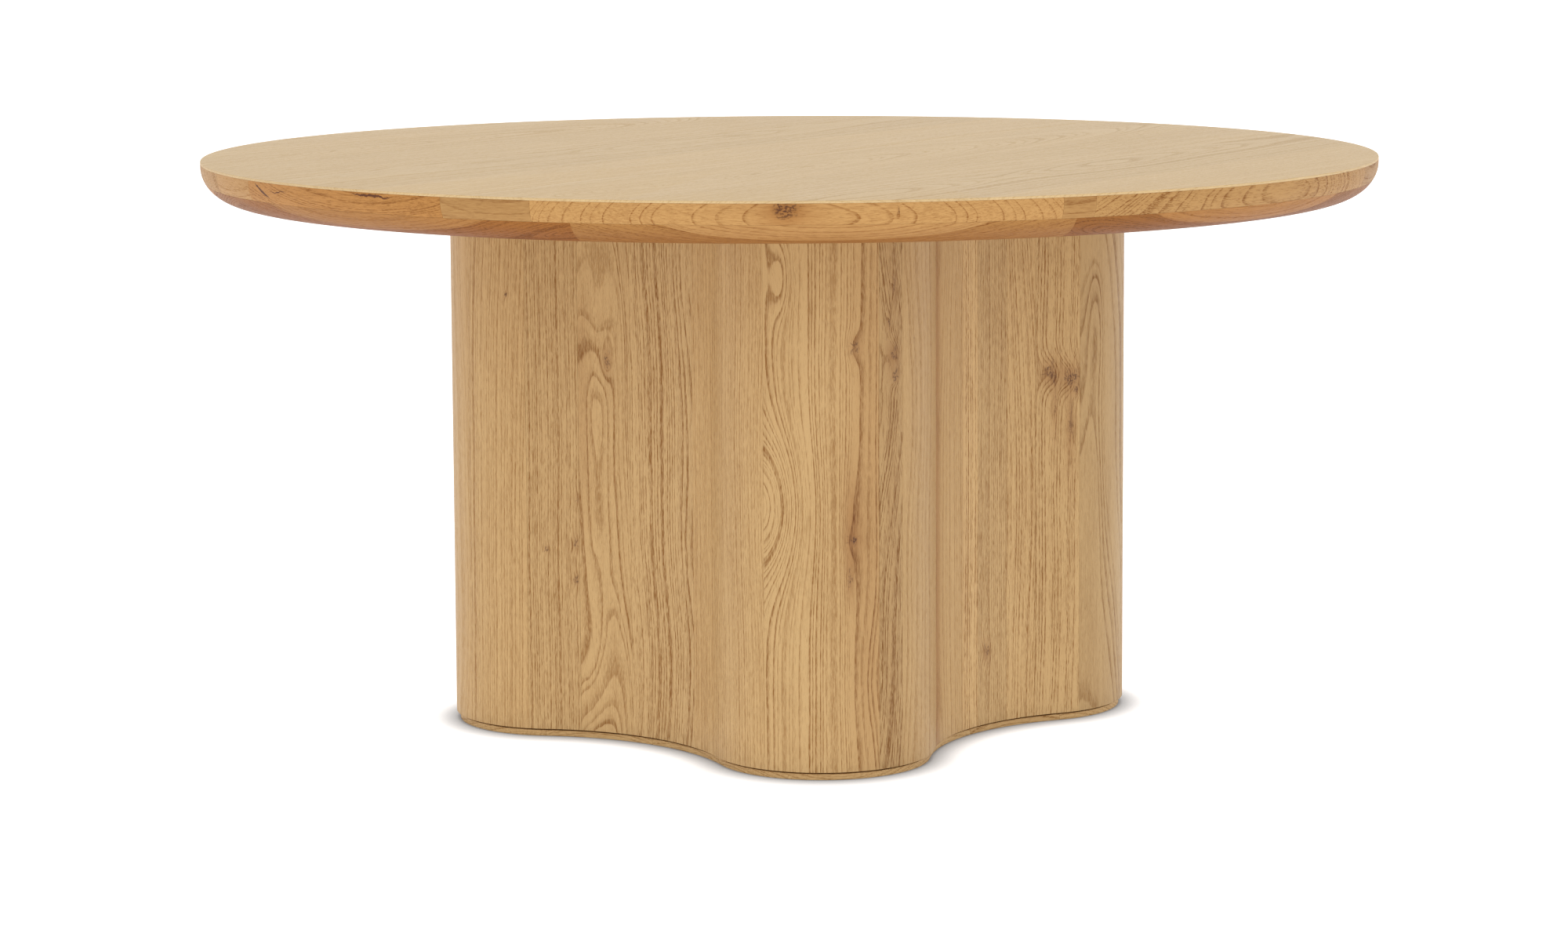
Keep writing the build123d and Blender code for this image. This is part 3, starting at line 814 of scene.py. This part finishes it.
# %% What each piece of the upper course looks like
RIM_CUTS = {
    "slanted": cut(-0.045, 0.15, 0.004, 0.0046, 0.0007, 0.7, thin_lines=2.6),
    "flowing": cut(0.05, 0.09, 0.012, 0.0034, 0.0020, 0.9, thin_lines=1.3),
    "deep": cut(0.03, 0.07, 0.02, 0.0040, 0.0040, 0.85),
    "flame": cut(-0.03, 0.10, 0.02, 0.0030, 0.0026, 0.95, thin_lines=1.5),
    "calm": cut(0.02, 0.20, 0.01, 0.0045, 0.0008, 0.5, thin_lines=1.6),
}
SEGMENTS = {
    1: ("slanted", 1.06, [knot(-0.0065, -0.013, 0.0135, 1.2, 0.35, 1.0, 1.0),
                          knot(-0.003, 0.114, 0.0050, 0.25, 0.3, 0.9, 0.3)]),
    2: ("flame", 0.93, []),
    3: ("flowing", 0.95, []),
    4: ("slanted", 1.0, []),
    5: ("flowing", 0.97, []),
    6: ("calm", 1.0, []),
    7: ("slanted", 0.95, []),
    8: ("deep", 0.98, [shake(-0.002, -0.1455, 0.036, 0.0022, 0.47),
                       shake(-0.003, -0.1055, 0.044, 0.0007, -0.06),
                       shake(-0.009, 0.078, 0.068, 0.0017, 0.02)]),
}
BLOCK_TONES = (0.92, 0.85, 1.0, 0.9, 0.86, 0.95, 1.04, 0.90)

# %% Make the upper course
segment_spans = [span(f"rim_upper_segment_{k}", bearing, tau) for k in range(1, 9)]
for k, (start, end) in enumerate(segment_spans, start=1):
    cut_name, tone, marks = SEGMENTS[k]
    light = RED_LIGHT if k == 8 else EDGE_LIGHT
    piece = rim_board(f"rim_segment_{k}", upper_section, start, end, RIM_CUTS[cut_name], 60.0 + k,
                      tone, marks, light)
    settle(piece, "oak_edge", f"rim_upper_segment_{k}")
    block_width = (segment_spans[k % 8][0] - end) % tau
    piece = rim_board(f"rim_block_{k}", upper_section, end, end + block_width, RIM_CUTS["calm"], 70.0 + k,
                      BLOCK_TONES[k - 1], [])
    settle(piece, "oak_edge", "rim_upper_blocks")
print("upper course from", [round(degrees(start), 1) for start, _ in segment_spans])

# %% [markdown]
# The lower course is a ring of eight mitred boards. Their outer faces are straight, which leaves
# the circle short, so a thin strip is glued to each face before the edge is turned. That cut
# comes out as a long lens on the rounded edge. Here one eighth of the ring is swept, and then
# sawn in two along the straight face: the inner part is the board and the outer part the strip.

# %% Saw a piece in two
def saw(piece, name, point, normal, wood, soften=SOFT_EDGE):
    """Cuts a piece along a plane. It keeps what is behind the plane; the rest is a new piece."""
    front = add_object(name, piece.data.copy())
    front.data.materials[0] = wood
    for part, side in ((piece, 1), (front, -1)):
        work = bmesh.new()
        work.from_mesh(part.data)
        geometry = work.verts[:] + work.edges[:] + work.faces[:]
        sawn = bmesh.ops.bisect_plane(work, geom=geometry, plane_co=point, plane_no=normal * side,
                                      clear_outer=True)
        rim = [e for e in sawn["geom_cut"] if isinstance(e, bmesh.types.BMEdge)]
        bmesh.ops.contextual_create(work, geom=rim)
        work.to_mesh(part.data)
        work.free()
        finish_mesh(part, soften)
    return front

# %% What the lower course looks like
DEEP_LIGHT = (0.362, 0.145, 0.027)
MID_LIGHT = (0.420, 0.214, 0.062)
UNDER_TONES = (0.98, 0.84, 0.9, 0.86, 0.92, 0.84, 0.9, 0.95)
STRIP_TONES = (1.06, 0.96, 0.96, 1.05, 0.96, 1.03, 1.0, 0.92)

# The rounded underside turns away from the light, and its end grain takes the oil darker. A knot
# with stain alone, stretched over the whole length, paints that dark lower edge on a board: partly
# painted shade for the underside, partly the oil in the end grain.
SHADE_AND_OIL_EDGE = knot(0.040, 0.0, 0.0150, 60.0, 0.0, 0.0, 1.0)

# %% Make the lower course
FIRST_LOWER = radians(-4)
first_out = polar(1, FRONT + FIRST_LOWER)
LOWER_FACE = max(v.co.dot(first_out) for v in nodes["rim_lower_board_1"].data.vertices)
for k in range(8):
    middle = FIRST_LOWER + k * tau / 8
    piece = rim_board(f"rim_under_{k + 1}", lower_section, middle - tau / 16, middle + tau / 16,
                      RIM_CUTS["deep" if k else "flowing"], 80.0 + k, UNDER_TONES[k], [SHADE_AND_OIL_EDGE],
                      DEEP_LIGHT if k else MID_LIGHT)
    out = polar(1, FRONT + middle)
    strip_wood = oak_material(f"oak_rim_strip_{k + 1}", tangent_space(out, COURSE_Z),
                              {**RIM_CUTS["calm"], "Seed": 90.0 + k}, RED_LIGHT if k else EDGE_LIGHT,
                              EDGE_DARK, STRIP_TONES[k], [SHADE_AND_OIL_EDGE], shine=EDGE_SHINE)
    strip = saw(piece, f"rim_strip_{k + 1}", out * LOWER_FACE, out, strip_wood)
    settle(piece, "oak_edge", f"rim_lower_board_{k + 1}")
    settle(strip, "oak_edge", "rim_lower_strips")
print("straight faces at", round(LOWER_FACE, 4), "m from the centre")

# %% [markdown]
# ## The round face
# The face is 3 mm of sawn oak in leaves, laid side by side over the core and the rim. The leaves
# run slantwise to the lobes and their joints hardly show. A disc with a rounded upper edge is
# turned first, and then sawn along the joints.

# %% Turn the disc
GRAIN_TURN = radians(50)
ARRIS = 0.0012
ARRIS_STEPS = 4
DISC_STEPS = 480
along_leaf = polar(1, GRAIN_TURN)
across_leaf = polar(1, GRAIN_TURN - pi / 2)
disc_profile = [(0, FACE_Z), (TOP_RADIUS, FACE_Z), (TOP_RADIUS, TOP_Z - ARRIS)]
for k in range(1, ARRIS_STEPS + 1):
    turn = radians(90) * k / ARRIS_STEPS
    disc_profile.append((TOP_RADIUS - ARRIS * (1 - cos(turn)), TOP_Z - ARRIS * (1 - sin(turn))))
disc_profile.append((0, TOP_Z))

def mesh_object(name, work):
    """Turns a finished bmesh into a new object."""
    mesh = bpy.data.meshes.new(name)
    work.to_mesh(mesh)
    work.free()
    return add_object(name, mesh)

def turned(name, profile, steps, centre=Vector((0, 0, 0))):
    """A closed mesh turned round an upright axis from points (radius, height)."""
    work = bmesh.new()
    line = [work.verts.new(centre + Vector((r, 0, z))) for r, z in profile]
    edges = [work.edges.new(pair) for pair in zip(line, line[1:])]
    bmesh.ops.spin(work, geom=line + edges, cent=centre, axis=(0, 0, 1), angle=tau, steps=steps,
                   use_duplicate=False)
    bmesh.ops.remove_doubles(work, verts=work.verts, dist=MERGE_DISTANCE)
    bmesh.ops.recalc_face_normals(work, faces=work.faces)
    return mesh_object(name, work)

# %% Saw the disc into leaves
# The face's colours are paler than the pedestal's oak: the extra paleness is painted sheen, for light
# glancing off the flat top.
FACE_PALE_WITH_SHEEN = (0.645, 0.466, 0.241)
FACE_DARK_WITH_SHEEN = (0.385, 0.225, 0.080)
FACE_RELIEF = 0.0001
LEAF_EDGES = (-0.80, -0.61, -0.47, -0.28, -0.11, 0.05, 0.24, 0.41, 0.58, 0.80)
LEAF_CUTS = ("plain", "arched", "rift", "plain", "rift", "arched", "rift", "plain", "rift")
LEAF_TONES = (0.97, 1.015, 1.0, 0.985)
LEAF_CONTRAST = 0.36
LEAF_SOFTNESS = 0.00005
rest = turned("face_leaf_9", disc_profile, DISC_STEPS)
rest.data.materials.append(None)
for k, (near_edge, far_edge) in enumerate(zip(LEAF_EDGES, LEAF_EDGES[1:]), start=1):
    middle = across_leaf * (near_edge + far_edge) / 2
    wood = oak_material(f"oak_leaf_{k}", board_space(middle + UP * TOP_Z, -UP, along_leaf),
                        {**CUTS[LEAF_CUTS[k - 1]], "Seed": 30.0 + k, "Contrast": LEAF_CONTRAST},
                        FACE_PALE_WITH_SHEEN, FACE_DARK_WITH_SHEEN, LEAF_TONES[k % 4], bump=FACE_RELIEF)
    leaf = rest
    if k < len(LEAF_CUTS):
        leaf.name = f"face_leaf_{k}"
        rest = saw(leaf, "face_leaf_9", across_leaf * far_edge, across_leaf, None, LEAF_SOFTNESS)
    leaf.data.materials[0] = wood
    settle(leaf, "oak_face", "top_face")
print("face leaves:", len(LEAF_CUTS))

# %% [markdown]
# ## Panels under the top and in the pedestal
# A veneered panel closes the underside. Inside the pedestal a plate takes the top's bolts, and a
# panel with a hand hole takes the glides; both are birch plywood. Their CAD shapes are right, so
# they stay and only get their finish. Veneer comes in leaves a hand wide, so a small group folds
# the wide panel into leaves, and each leaf has its own rings. Plywood is a stack of thin plies
# that cross each other, and its group is that stack: the faces show one ply and the edges all.

# %% The leaf group and the plywood group
leaf_group, w, given, result = new_group(
    "leaves", {"Board": ("Vector", None), "Width": ("Float", 0.18)}, {"Board": "Vector", "Leaf": "Float"})
x, y, z = w.xyz(given["Board"])
leaf = w.math("FLOOR", w.over(x, given["Width"]))
in_leaf = w.minus(x, w.times(w.plus(leaf, 0.5), given["Width"]))
w.feed(result["Board"], w.vector(in_leaf, y, z))
w.feed(result["Leaf"], leaf)

ply_inputs = {"Point": ("Vector", None), "Ply": ("Float", 0.0015),
              "Light": ("Color", (0.7, 0.5, 0.3, 1)), "Dark": ("Color", (0.5, 0.3, 0.2, 1))}
ply_group, w, given, result = new_group("plywood", ply_inputs, FINISH_OUTPUTS)
x, y, z = w.xyz(given["Point"])
plies = w.over(z, given["Ply"])
odd = w.math("MODULO", w.math("FLOOR", plies), 2.0)
even = w.minus(1.0, odd)
lengthways = w.plus(w.times(odd, x), w.times(even, y))
crossways = w.plus(w.times(odd, y), w.times(even, x))
fibre = w.noise(w.vector(w.times(crossways, 260), w.times(lengthways, 9), plies), 3.0)
figure = w.noise(w.vector(w.times(crossways, 24), w.times(lengthways, 2.5), plies), 3.0, 5.0)
glue = w.step(w.math("PINGPONG", plies, 0.5), 0.06, 0.0)
shade = w.plus(w.times(odd, 0.22), w.times(fibre, 0.35))
shade = w.plus(shade, w.times_plus(figure, 0.5, w.times(glue, 0.5)))
w.feed(result["Color"], w.mix(w.step(shade, 0.1, 1.2), given["Light"], given["Dark"]))
w.feed(result["Roughness"], w.times_plus(fibre, 0.15, 0.48))
w.feed(result["Height"], w.minus(fibre, glue))
print("leaf group:", len(leaf_group.nodes), "nodes; plywood group:", len(ply_group.nodes), "nodes")

# %% Veneer for the underside, raw oak for the core, plywood for the two panels
def veneer_material(name, light, dark, sizes, leaf_width):
    """Oak for a wide panel, folded into leaves that each have their own rings."""
    material = oak_material(name, board_space(UP * UNDER_Z, UP, along_leaf), sizes, light, dark,
                            bump=FACE_RELIEF)
    w = Wiring(material.node_tree)
    grain = next(n for n in material.node_tree.nodes if n.type == "GROUP")
    board = grain.inputs["Board"].links[0].from_socket
    folded = w.add("ShaderNodeGroup", {"Board": board, "Width": leaf_width}, node_tree=leaf_group)
    w.feed(grain.inputs["Board"], folded.outputs["Board"])
    w.feed(grain.inputs["Seed"], folded.outputs["Leaf"])
    return material

paint("under_panel", veneer_material("veneer_underside", light=(0.56, 0.36, 0.17), dark=(0.33, 0.16, 0.055),
                                     sizes={**CUTS["arched"], "Contrast": 0.6}, leaf_width=0.17))
paint("core_panel", veneer_material("raw_core", light=(0.62, 0.45, 0.26), dark=(0.42, 0.26, 0.12),
                                    sizes={**CUTS["rift"], "Contrast": 0.7}, leaf_width=0.045))

def coat(name, group, values, metallic, relief_depth):
    """A material whose colour, roughness and relief all come from one group."""
    material = bpy.data.materials.new(name)
    material.use_nodes = True
    w = Wiring(material.node_tree)
    skin = material.node_tree.nodes["Principled BSDF"]
    skin.inputs["Metallic"].default_value = metallic
    point = w.add("ShaderNodeTexCoord").outputs["Object"]
    made = w.add("ShaderNodeGroup", node_tree=group)
    for key, value in {"Point": point, **values}.items():
        w.feed(made.inputs[key], value)
    w.feed(skin.inputs["Base Color"], made.outputs["Color"])
    w.feed(skin.inputs["Roughness"], made.outputs["Roughness"])
    relief = w.add("ShaderNodeBump",
                   {"Height": made.outputs["Height"], "Strength": 0.5, "Distance": relief_depth})
    w.feed(skin.inputs["Normal"], relief.outputs[0])
    return material

birch = {"Light": (0.64, 0.47, 0.28, 1), "Dark": (0.42, 0.27, 0.13, 1)}
plywood = coat("birch_plywood", ply_group, birch, metallic=0.0, relief_depth=0.0001)
paint("top_plate", plywood)
paint("base_panel", plywood)
print("painted: under_panel, core_panel, top_plate, base_panel")

# %% [markdown]
# ## Steel and nylon
# The bolts, inserts, sockets and the glides' studs are zinc-plated steel, which is matt, a little
# cloudy and finely scratched. One group gives clouds and scratches, and both metal and nylon use it.

# %% The plated group
plated_inputs = {"Point": ("Vector", None), "Scratches": ("Float", 0.5), "Matt": ("Float", 0.35),
                 "Light": ("Color", (0.6, 0.6, 0.6, 1)), "Dark": ("Color", (0.4, 0.4, 0.4, 1))}
plated_group, w, given, result = new_group("plated", plated_inputs, FINISH_OUTPUTS)
clouds = w.noise(w.scaled(given["Point"], (120, 120, 120)), 3.0)
grain = w.noise(w.scaled(given["Point"], (2600, 2600, 500)), 2.0, 2.0)
scratches = w.times(grain, given["Scratches"])
shade = w.times_plus(clouds, 0.7, w.times(scratches, 0.6))
w.feed(result["Color"], w.mix(w.step(shade, 0.2, 0.8), given["Light"], given["Dark"]))
w.feed(result["Roughness"], w.plus(given["Matt"], w.times(w.minus(shade, 0.4), 0.4)))
w.feed(result["Height"], scratches)
zinc = coat("zinc_plating", plated_group,
            {"Light": (0.66, 0.67, 0.68, 1), "Dark": (0.47, 0.47, 0.46, 1), "Matt": 0.34},
            metallic=1.0, relief_depth=0.00003)
nylon = coat("grey_nylon", plated_group,
             {"Light": (0.10, 0.10, 0.105, 1), "Dark": (0.06, 0.06, 0.065, 1), "Matt": 0.55,
              "Scratches": 0.9}, metallic=0.0, relief_depth=0.00005)
for name in ("top_bolts", "top_inserts", "glide_sockets"):
    paint(name, zinc)
print("plated group:", len(plated_group.nodes), "nodes")

# %% [markdown]
# ## Levelling glides
# Under each lobe a glide screws down by up to 10 mm, so that the table stands firm on an uneven
# floor. Each is a steel stud with an M10 thread and a steel cup with a nylon sole. A thread is a
# groove that climbs one pitch per turn, so the stud's mesh is a grid of rings whose radius depends
# on height minus turn, and that gives a true helix without any modelling by hand.

# %% A threaded stud
THREAD_RADIUS = 0.00495
THREAD_DEPTH = 0.0008
THREAD_PITCH = 0.0015
ROWS_PER_PITCH = 6
STUD_STEPS = 24
CHAMFER = 0.001

def threaded_stud(name, centre, bottom, top):
    """A threaded rod with a chamfered upper end."""
    work = bmesh.new()
    rows = round((top - bottom) / (THREAD_PITCH / ROWS_PER_PITCH))
    rings = []
    for row in range(rows + 1):
        height = bottom + (top - bottom) * row / rows
        most = min(1.0, 0.75 + 0.25 * (top - height) / CHAMFER)
        ring = []
        for step in range(STUD_STEPS):
            phase = (height / THREAD_PITCH - step / STUD_STEPS) % 1
            out = THREAD_RADIUS * most - THREAD_DEPTH * abs(2 * phase - 1)
            ring.append(work.verts.new(centre + polar(out, tau * step / STUD_STEPS) + UP * height))
        rings.append(ring)
    for low, high in zip(rings, rings[1:]):
        for step in range(STUD_STEPS):
            after = (step + 1) % STUD_STEPS
            work.faces.new((low[step], low[after], high[after], high[step]))
    work.faces.new(rings[-1])
    work.faces.new(list(reversed(rings[0])))
    bmesh.ops.recalc_face_normals(work, faces=work.faces)
    return mesh_object(name, work)

# %% Make the glides
GLIDES = 4
FOOT_STEPS = 64
FOOT_SMOOTH_BELOW = radians(35)
SOLE_TOP = 0.0034
CUP_TOP = 0.0070
SOLE_PROFILE = [(0, 0), (0.0185, 0), (0.0197, 0.0004), (0.0200, 0.0012), (0.0200, 0.0030),
                (0.0196, SOLE_TOP), (0, SOLE_TOP)]
CUP_PROFILE = [(0, SOLE_TOP), (0.0192, SOLE_TOP), (0.0194, 0.0038), (0.0190, 0.0042), (0.0088, 0.0068),
               (0.0078, CUP_TOP), (0, CUP_TOP)]
for k in range(1, GLIDES + 1):
    low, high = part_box(f"glide_{k}")
    centre = Vector(((low.x + high.x) / 2, (low.y + high.y) / 2, 0))
    sole = turned(f"glide_sole_{k}", SOLE_PROFILE, FOOT_STEPS, centre)
    cup = turned(f"glide_cup_{k}", CUP_PROFILE, FOOT_STEPS, centre)
    stud = threaded_stud(f"glide_stud_{k}", centre, CUP_TOP, high.z)
    for piece, finish in ((sole, nylon), (cup, zinc), (stud, zinc)):
        piece.data.materials.append(finish)
        if piece is not stud:
            for face in piece.data.polygons:
                face.use_smooth = True
            piece.data.set_sharp_from_angle(angle=FOOT_SMOOTH_BELOW)
        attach(piece, f"glide_{k}_body")
        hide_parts(f"glide_{k}")
print("glides:", GLIDES, "thread turns:", round((high.z - CUP_TOP) / THREAD_PITCH))

# %% Clear the helper curves away
for helper in (outline_path, rim_path, stave_section, plinth_section, upper_section, lower_section):
    bpy.data.objects.remove(helper)
lowest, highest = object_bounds()
print("bounds", [round(v, 4) for v in lowest], [round(v, 4) for v in highest])

# %% [markdown]
# ## Floor and light
# The table stands in an even white studio: a white sky lights it from all round, and one large
# soft lamp from the front gives the boards their shape. The floor glows a little, so that it is
# as bright as the sky, and a painted contact shadow, from an ambient occlusion node, darkens its
# colour and its glow in a thin line where the table stands close to it.

# %% Floor
FLOOR_REACH = 30
CONTACT_REACH = 0.04
CONTACT_FALL = 1.6
FLOOR_GLOW = 0.85
FLOOR_ROUGHNESS = 0.9
FLOOR_SHADE = (0.14, 0.14, 0.145, 1)
FLOOR_GREY = (0.5, 0.5, 0.5, 1)
floor_mesh = bpy.data.meshes.new("floor")
corners = [(-FLOOR_REACH, -FLOOR_REACH, 0), (FLOOR_REACH, -FLOOR_REACH, 0),
           (FLOOR_REACH, FLOOR_REACH, 0), (-FLOOR_REACH, FLOOR_REACH, 0)]
floor_mesh.from_pydata(corners, [], [(0, 1, 2, 3)])
floor_object = add_object("floor", floor_mesh)
floor_material = bpy.data.materials.new("floor_white")
floor_material.use_nodes = True
w = Wiring(floor_material.node_tree)
floor_skin = floor_material.node_tree.nodes["Principled BSDF"]
# Painted shadow: near the table the occlusion darkens the floor's colour and its glow.
open_sky = w.add("ShaderNodeAmbientOcclusion", {"Distance": CONTACT_REACH}, samples=16).outputs["AO"]
contact = w.math("POWER", open_sky, CONTACT_FALL)
w.feed(floor_skin.inputs["Base Color"], w.mix(contact, FLOOR_SHADE, FLOOR_GREY))
w.feed(floor_skin.inputs["Emission Color"], w.mix(contact, (0, 0, 0, 1), (1, 1, 1, 1)))
floor_skin.inputs["Roughness"].default_value = FLOOR_ROUGHNESS
floor_skin.inputs["Emission Strength"].default_value = FLOOR_GLOW
floor_mesh.materials.append(floor_material)
print("floor:", 2 * FLOOR_REACH, "m across")

# %% Light
LAMP_PLACE = Vector((-0.5, -4.2, 2.3))
LAMP_TARGET = Vector((0, -0.3, 0.5))
LAMP_WATTS = 26
LAMP_WIDTH = 3.5
LAMP_HEIGHT = 2.0
world = bpy.data.worlds.new("studio")
bpy.context.scene.world = world
world.use_nodes = True
sky = world.node_tree.nodes["Background"]
sky.inputs["Color"].default_value = (1, 1, 1, 1)
sky.inputs["Strength"].default_value = 1.0
bpy.context.scene.view_settings.view_transform = "Standard"

lamp_data = bpy.data.lights.new("front", "AREA")
lamp_data.shape = "RECTANGLE"
lamp_data.size = LAMP_WIDTH
lamp_data.size_y = LAMP_HEIGHT
lamp_data.energy = LAMP_WATTS
lamp = add_object("front", lamp_data)
lamp.location = LAMP_PLACE
lamp.rotation_euler = (LAMP_TARGET - LAMP_PLACE).to_track_quat("-Z", "Y").to_euler()
print("lamp:", LAMP_WATTS, "W")
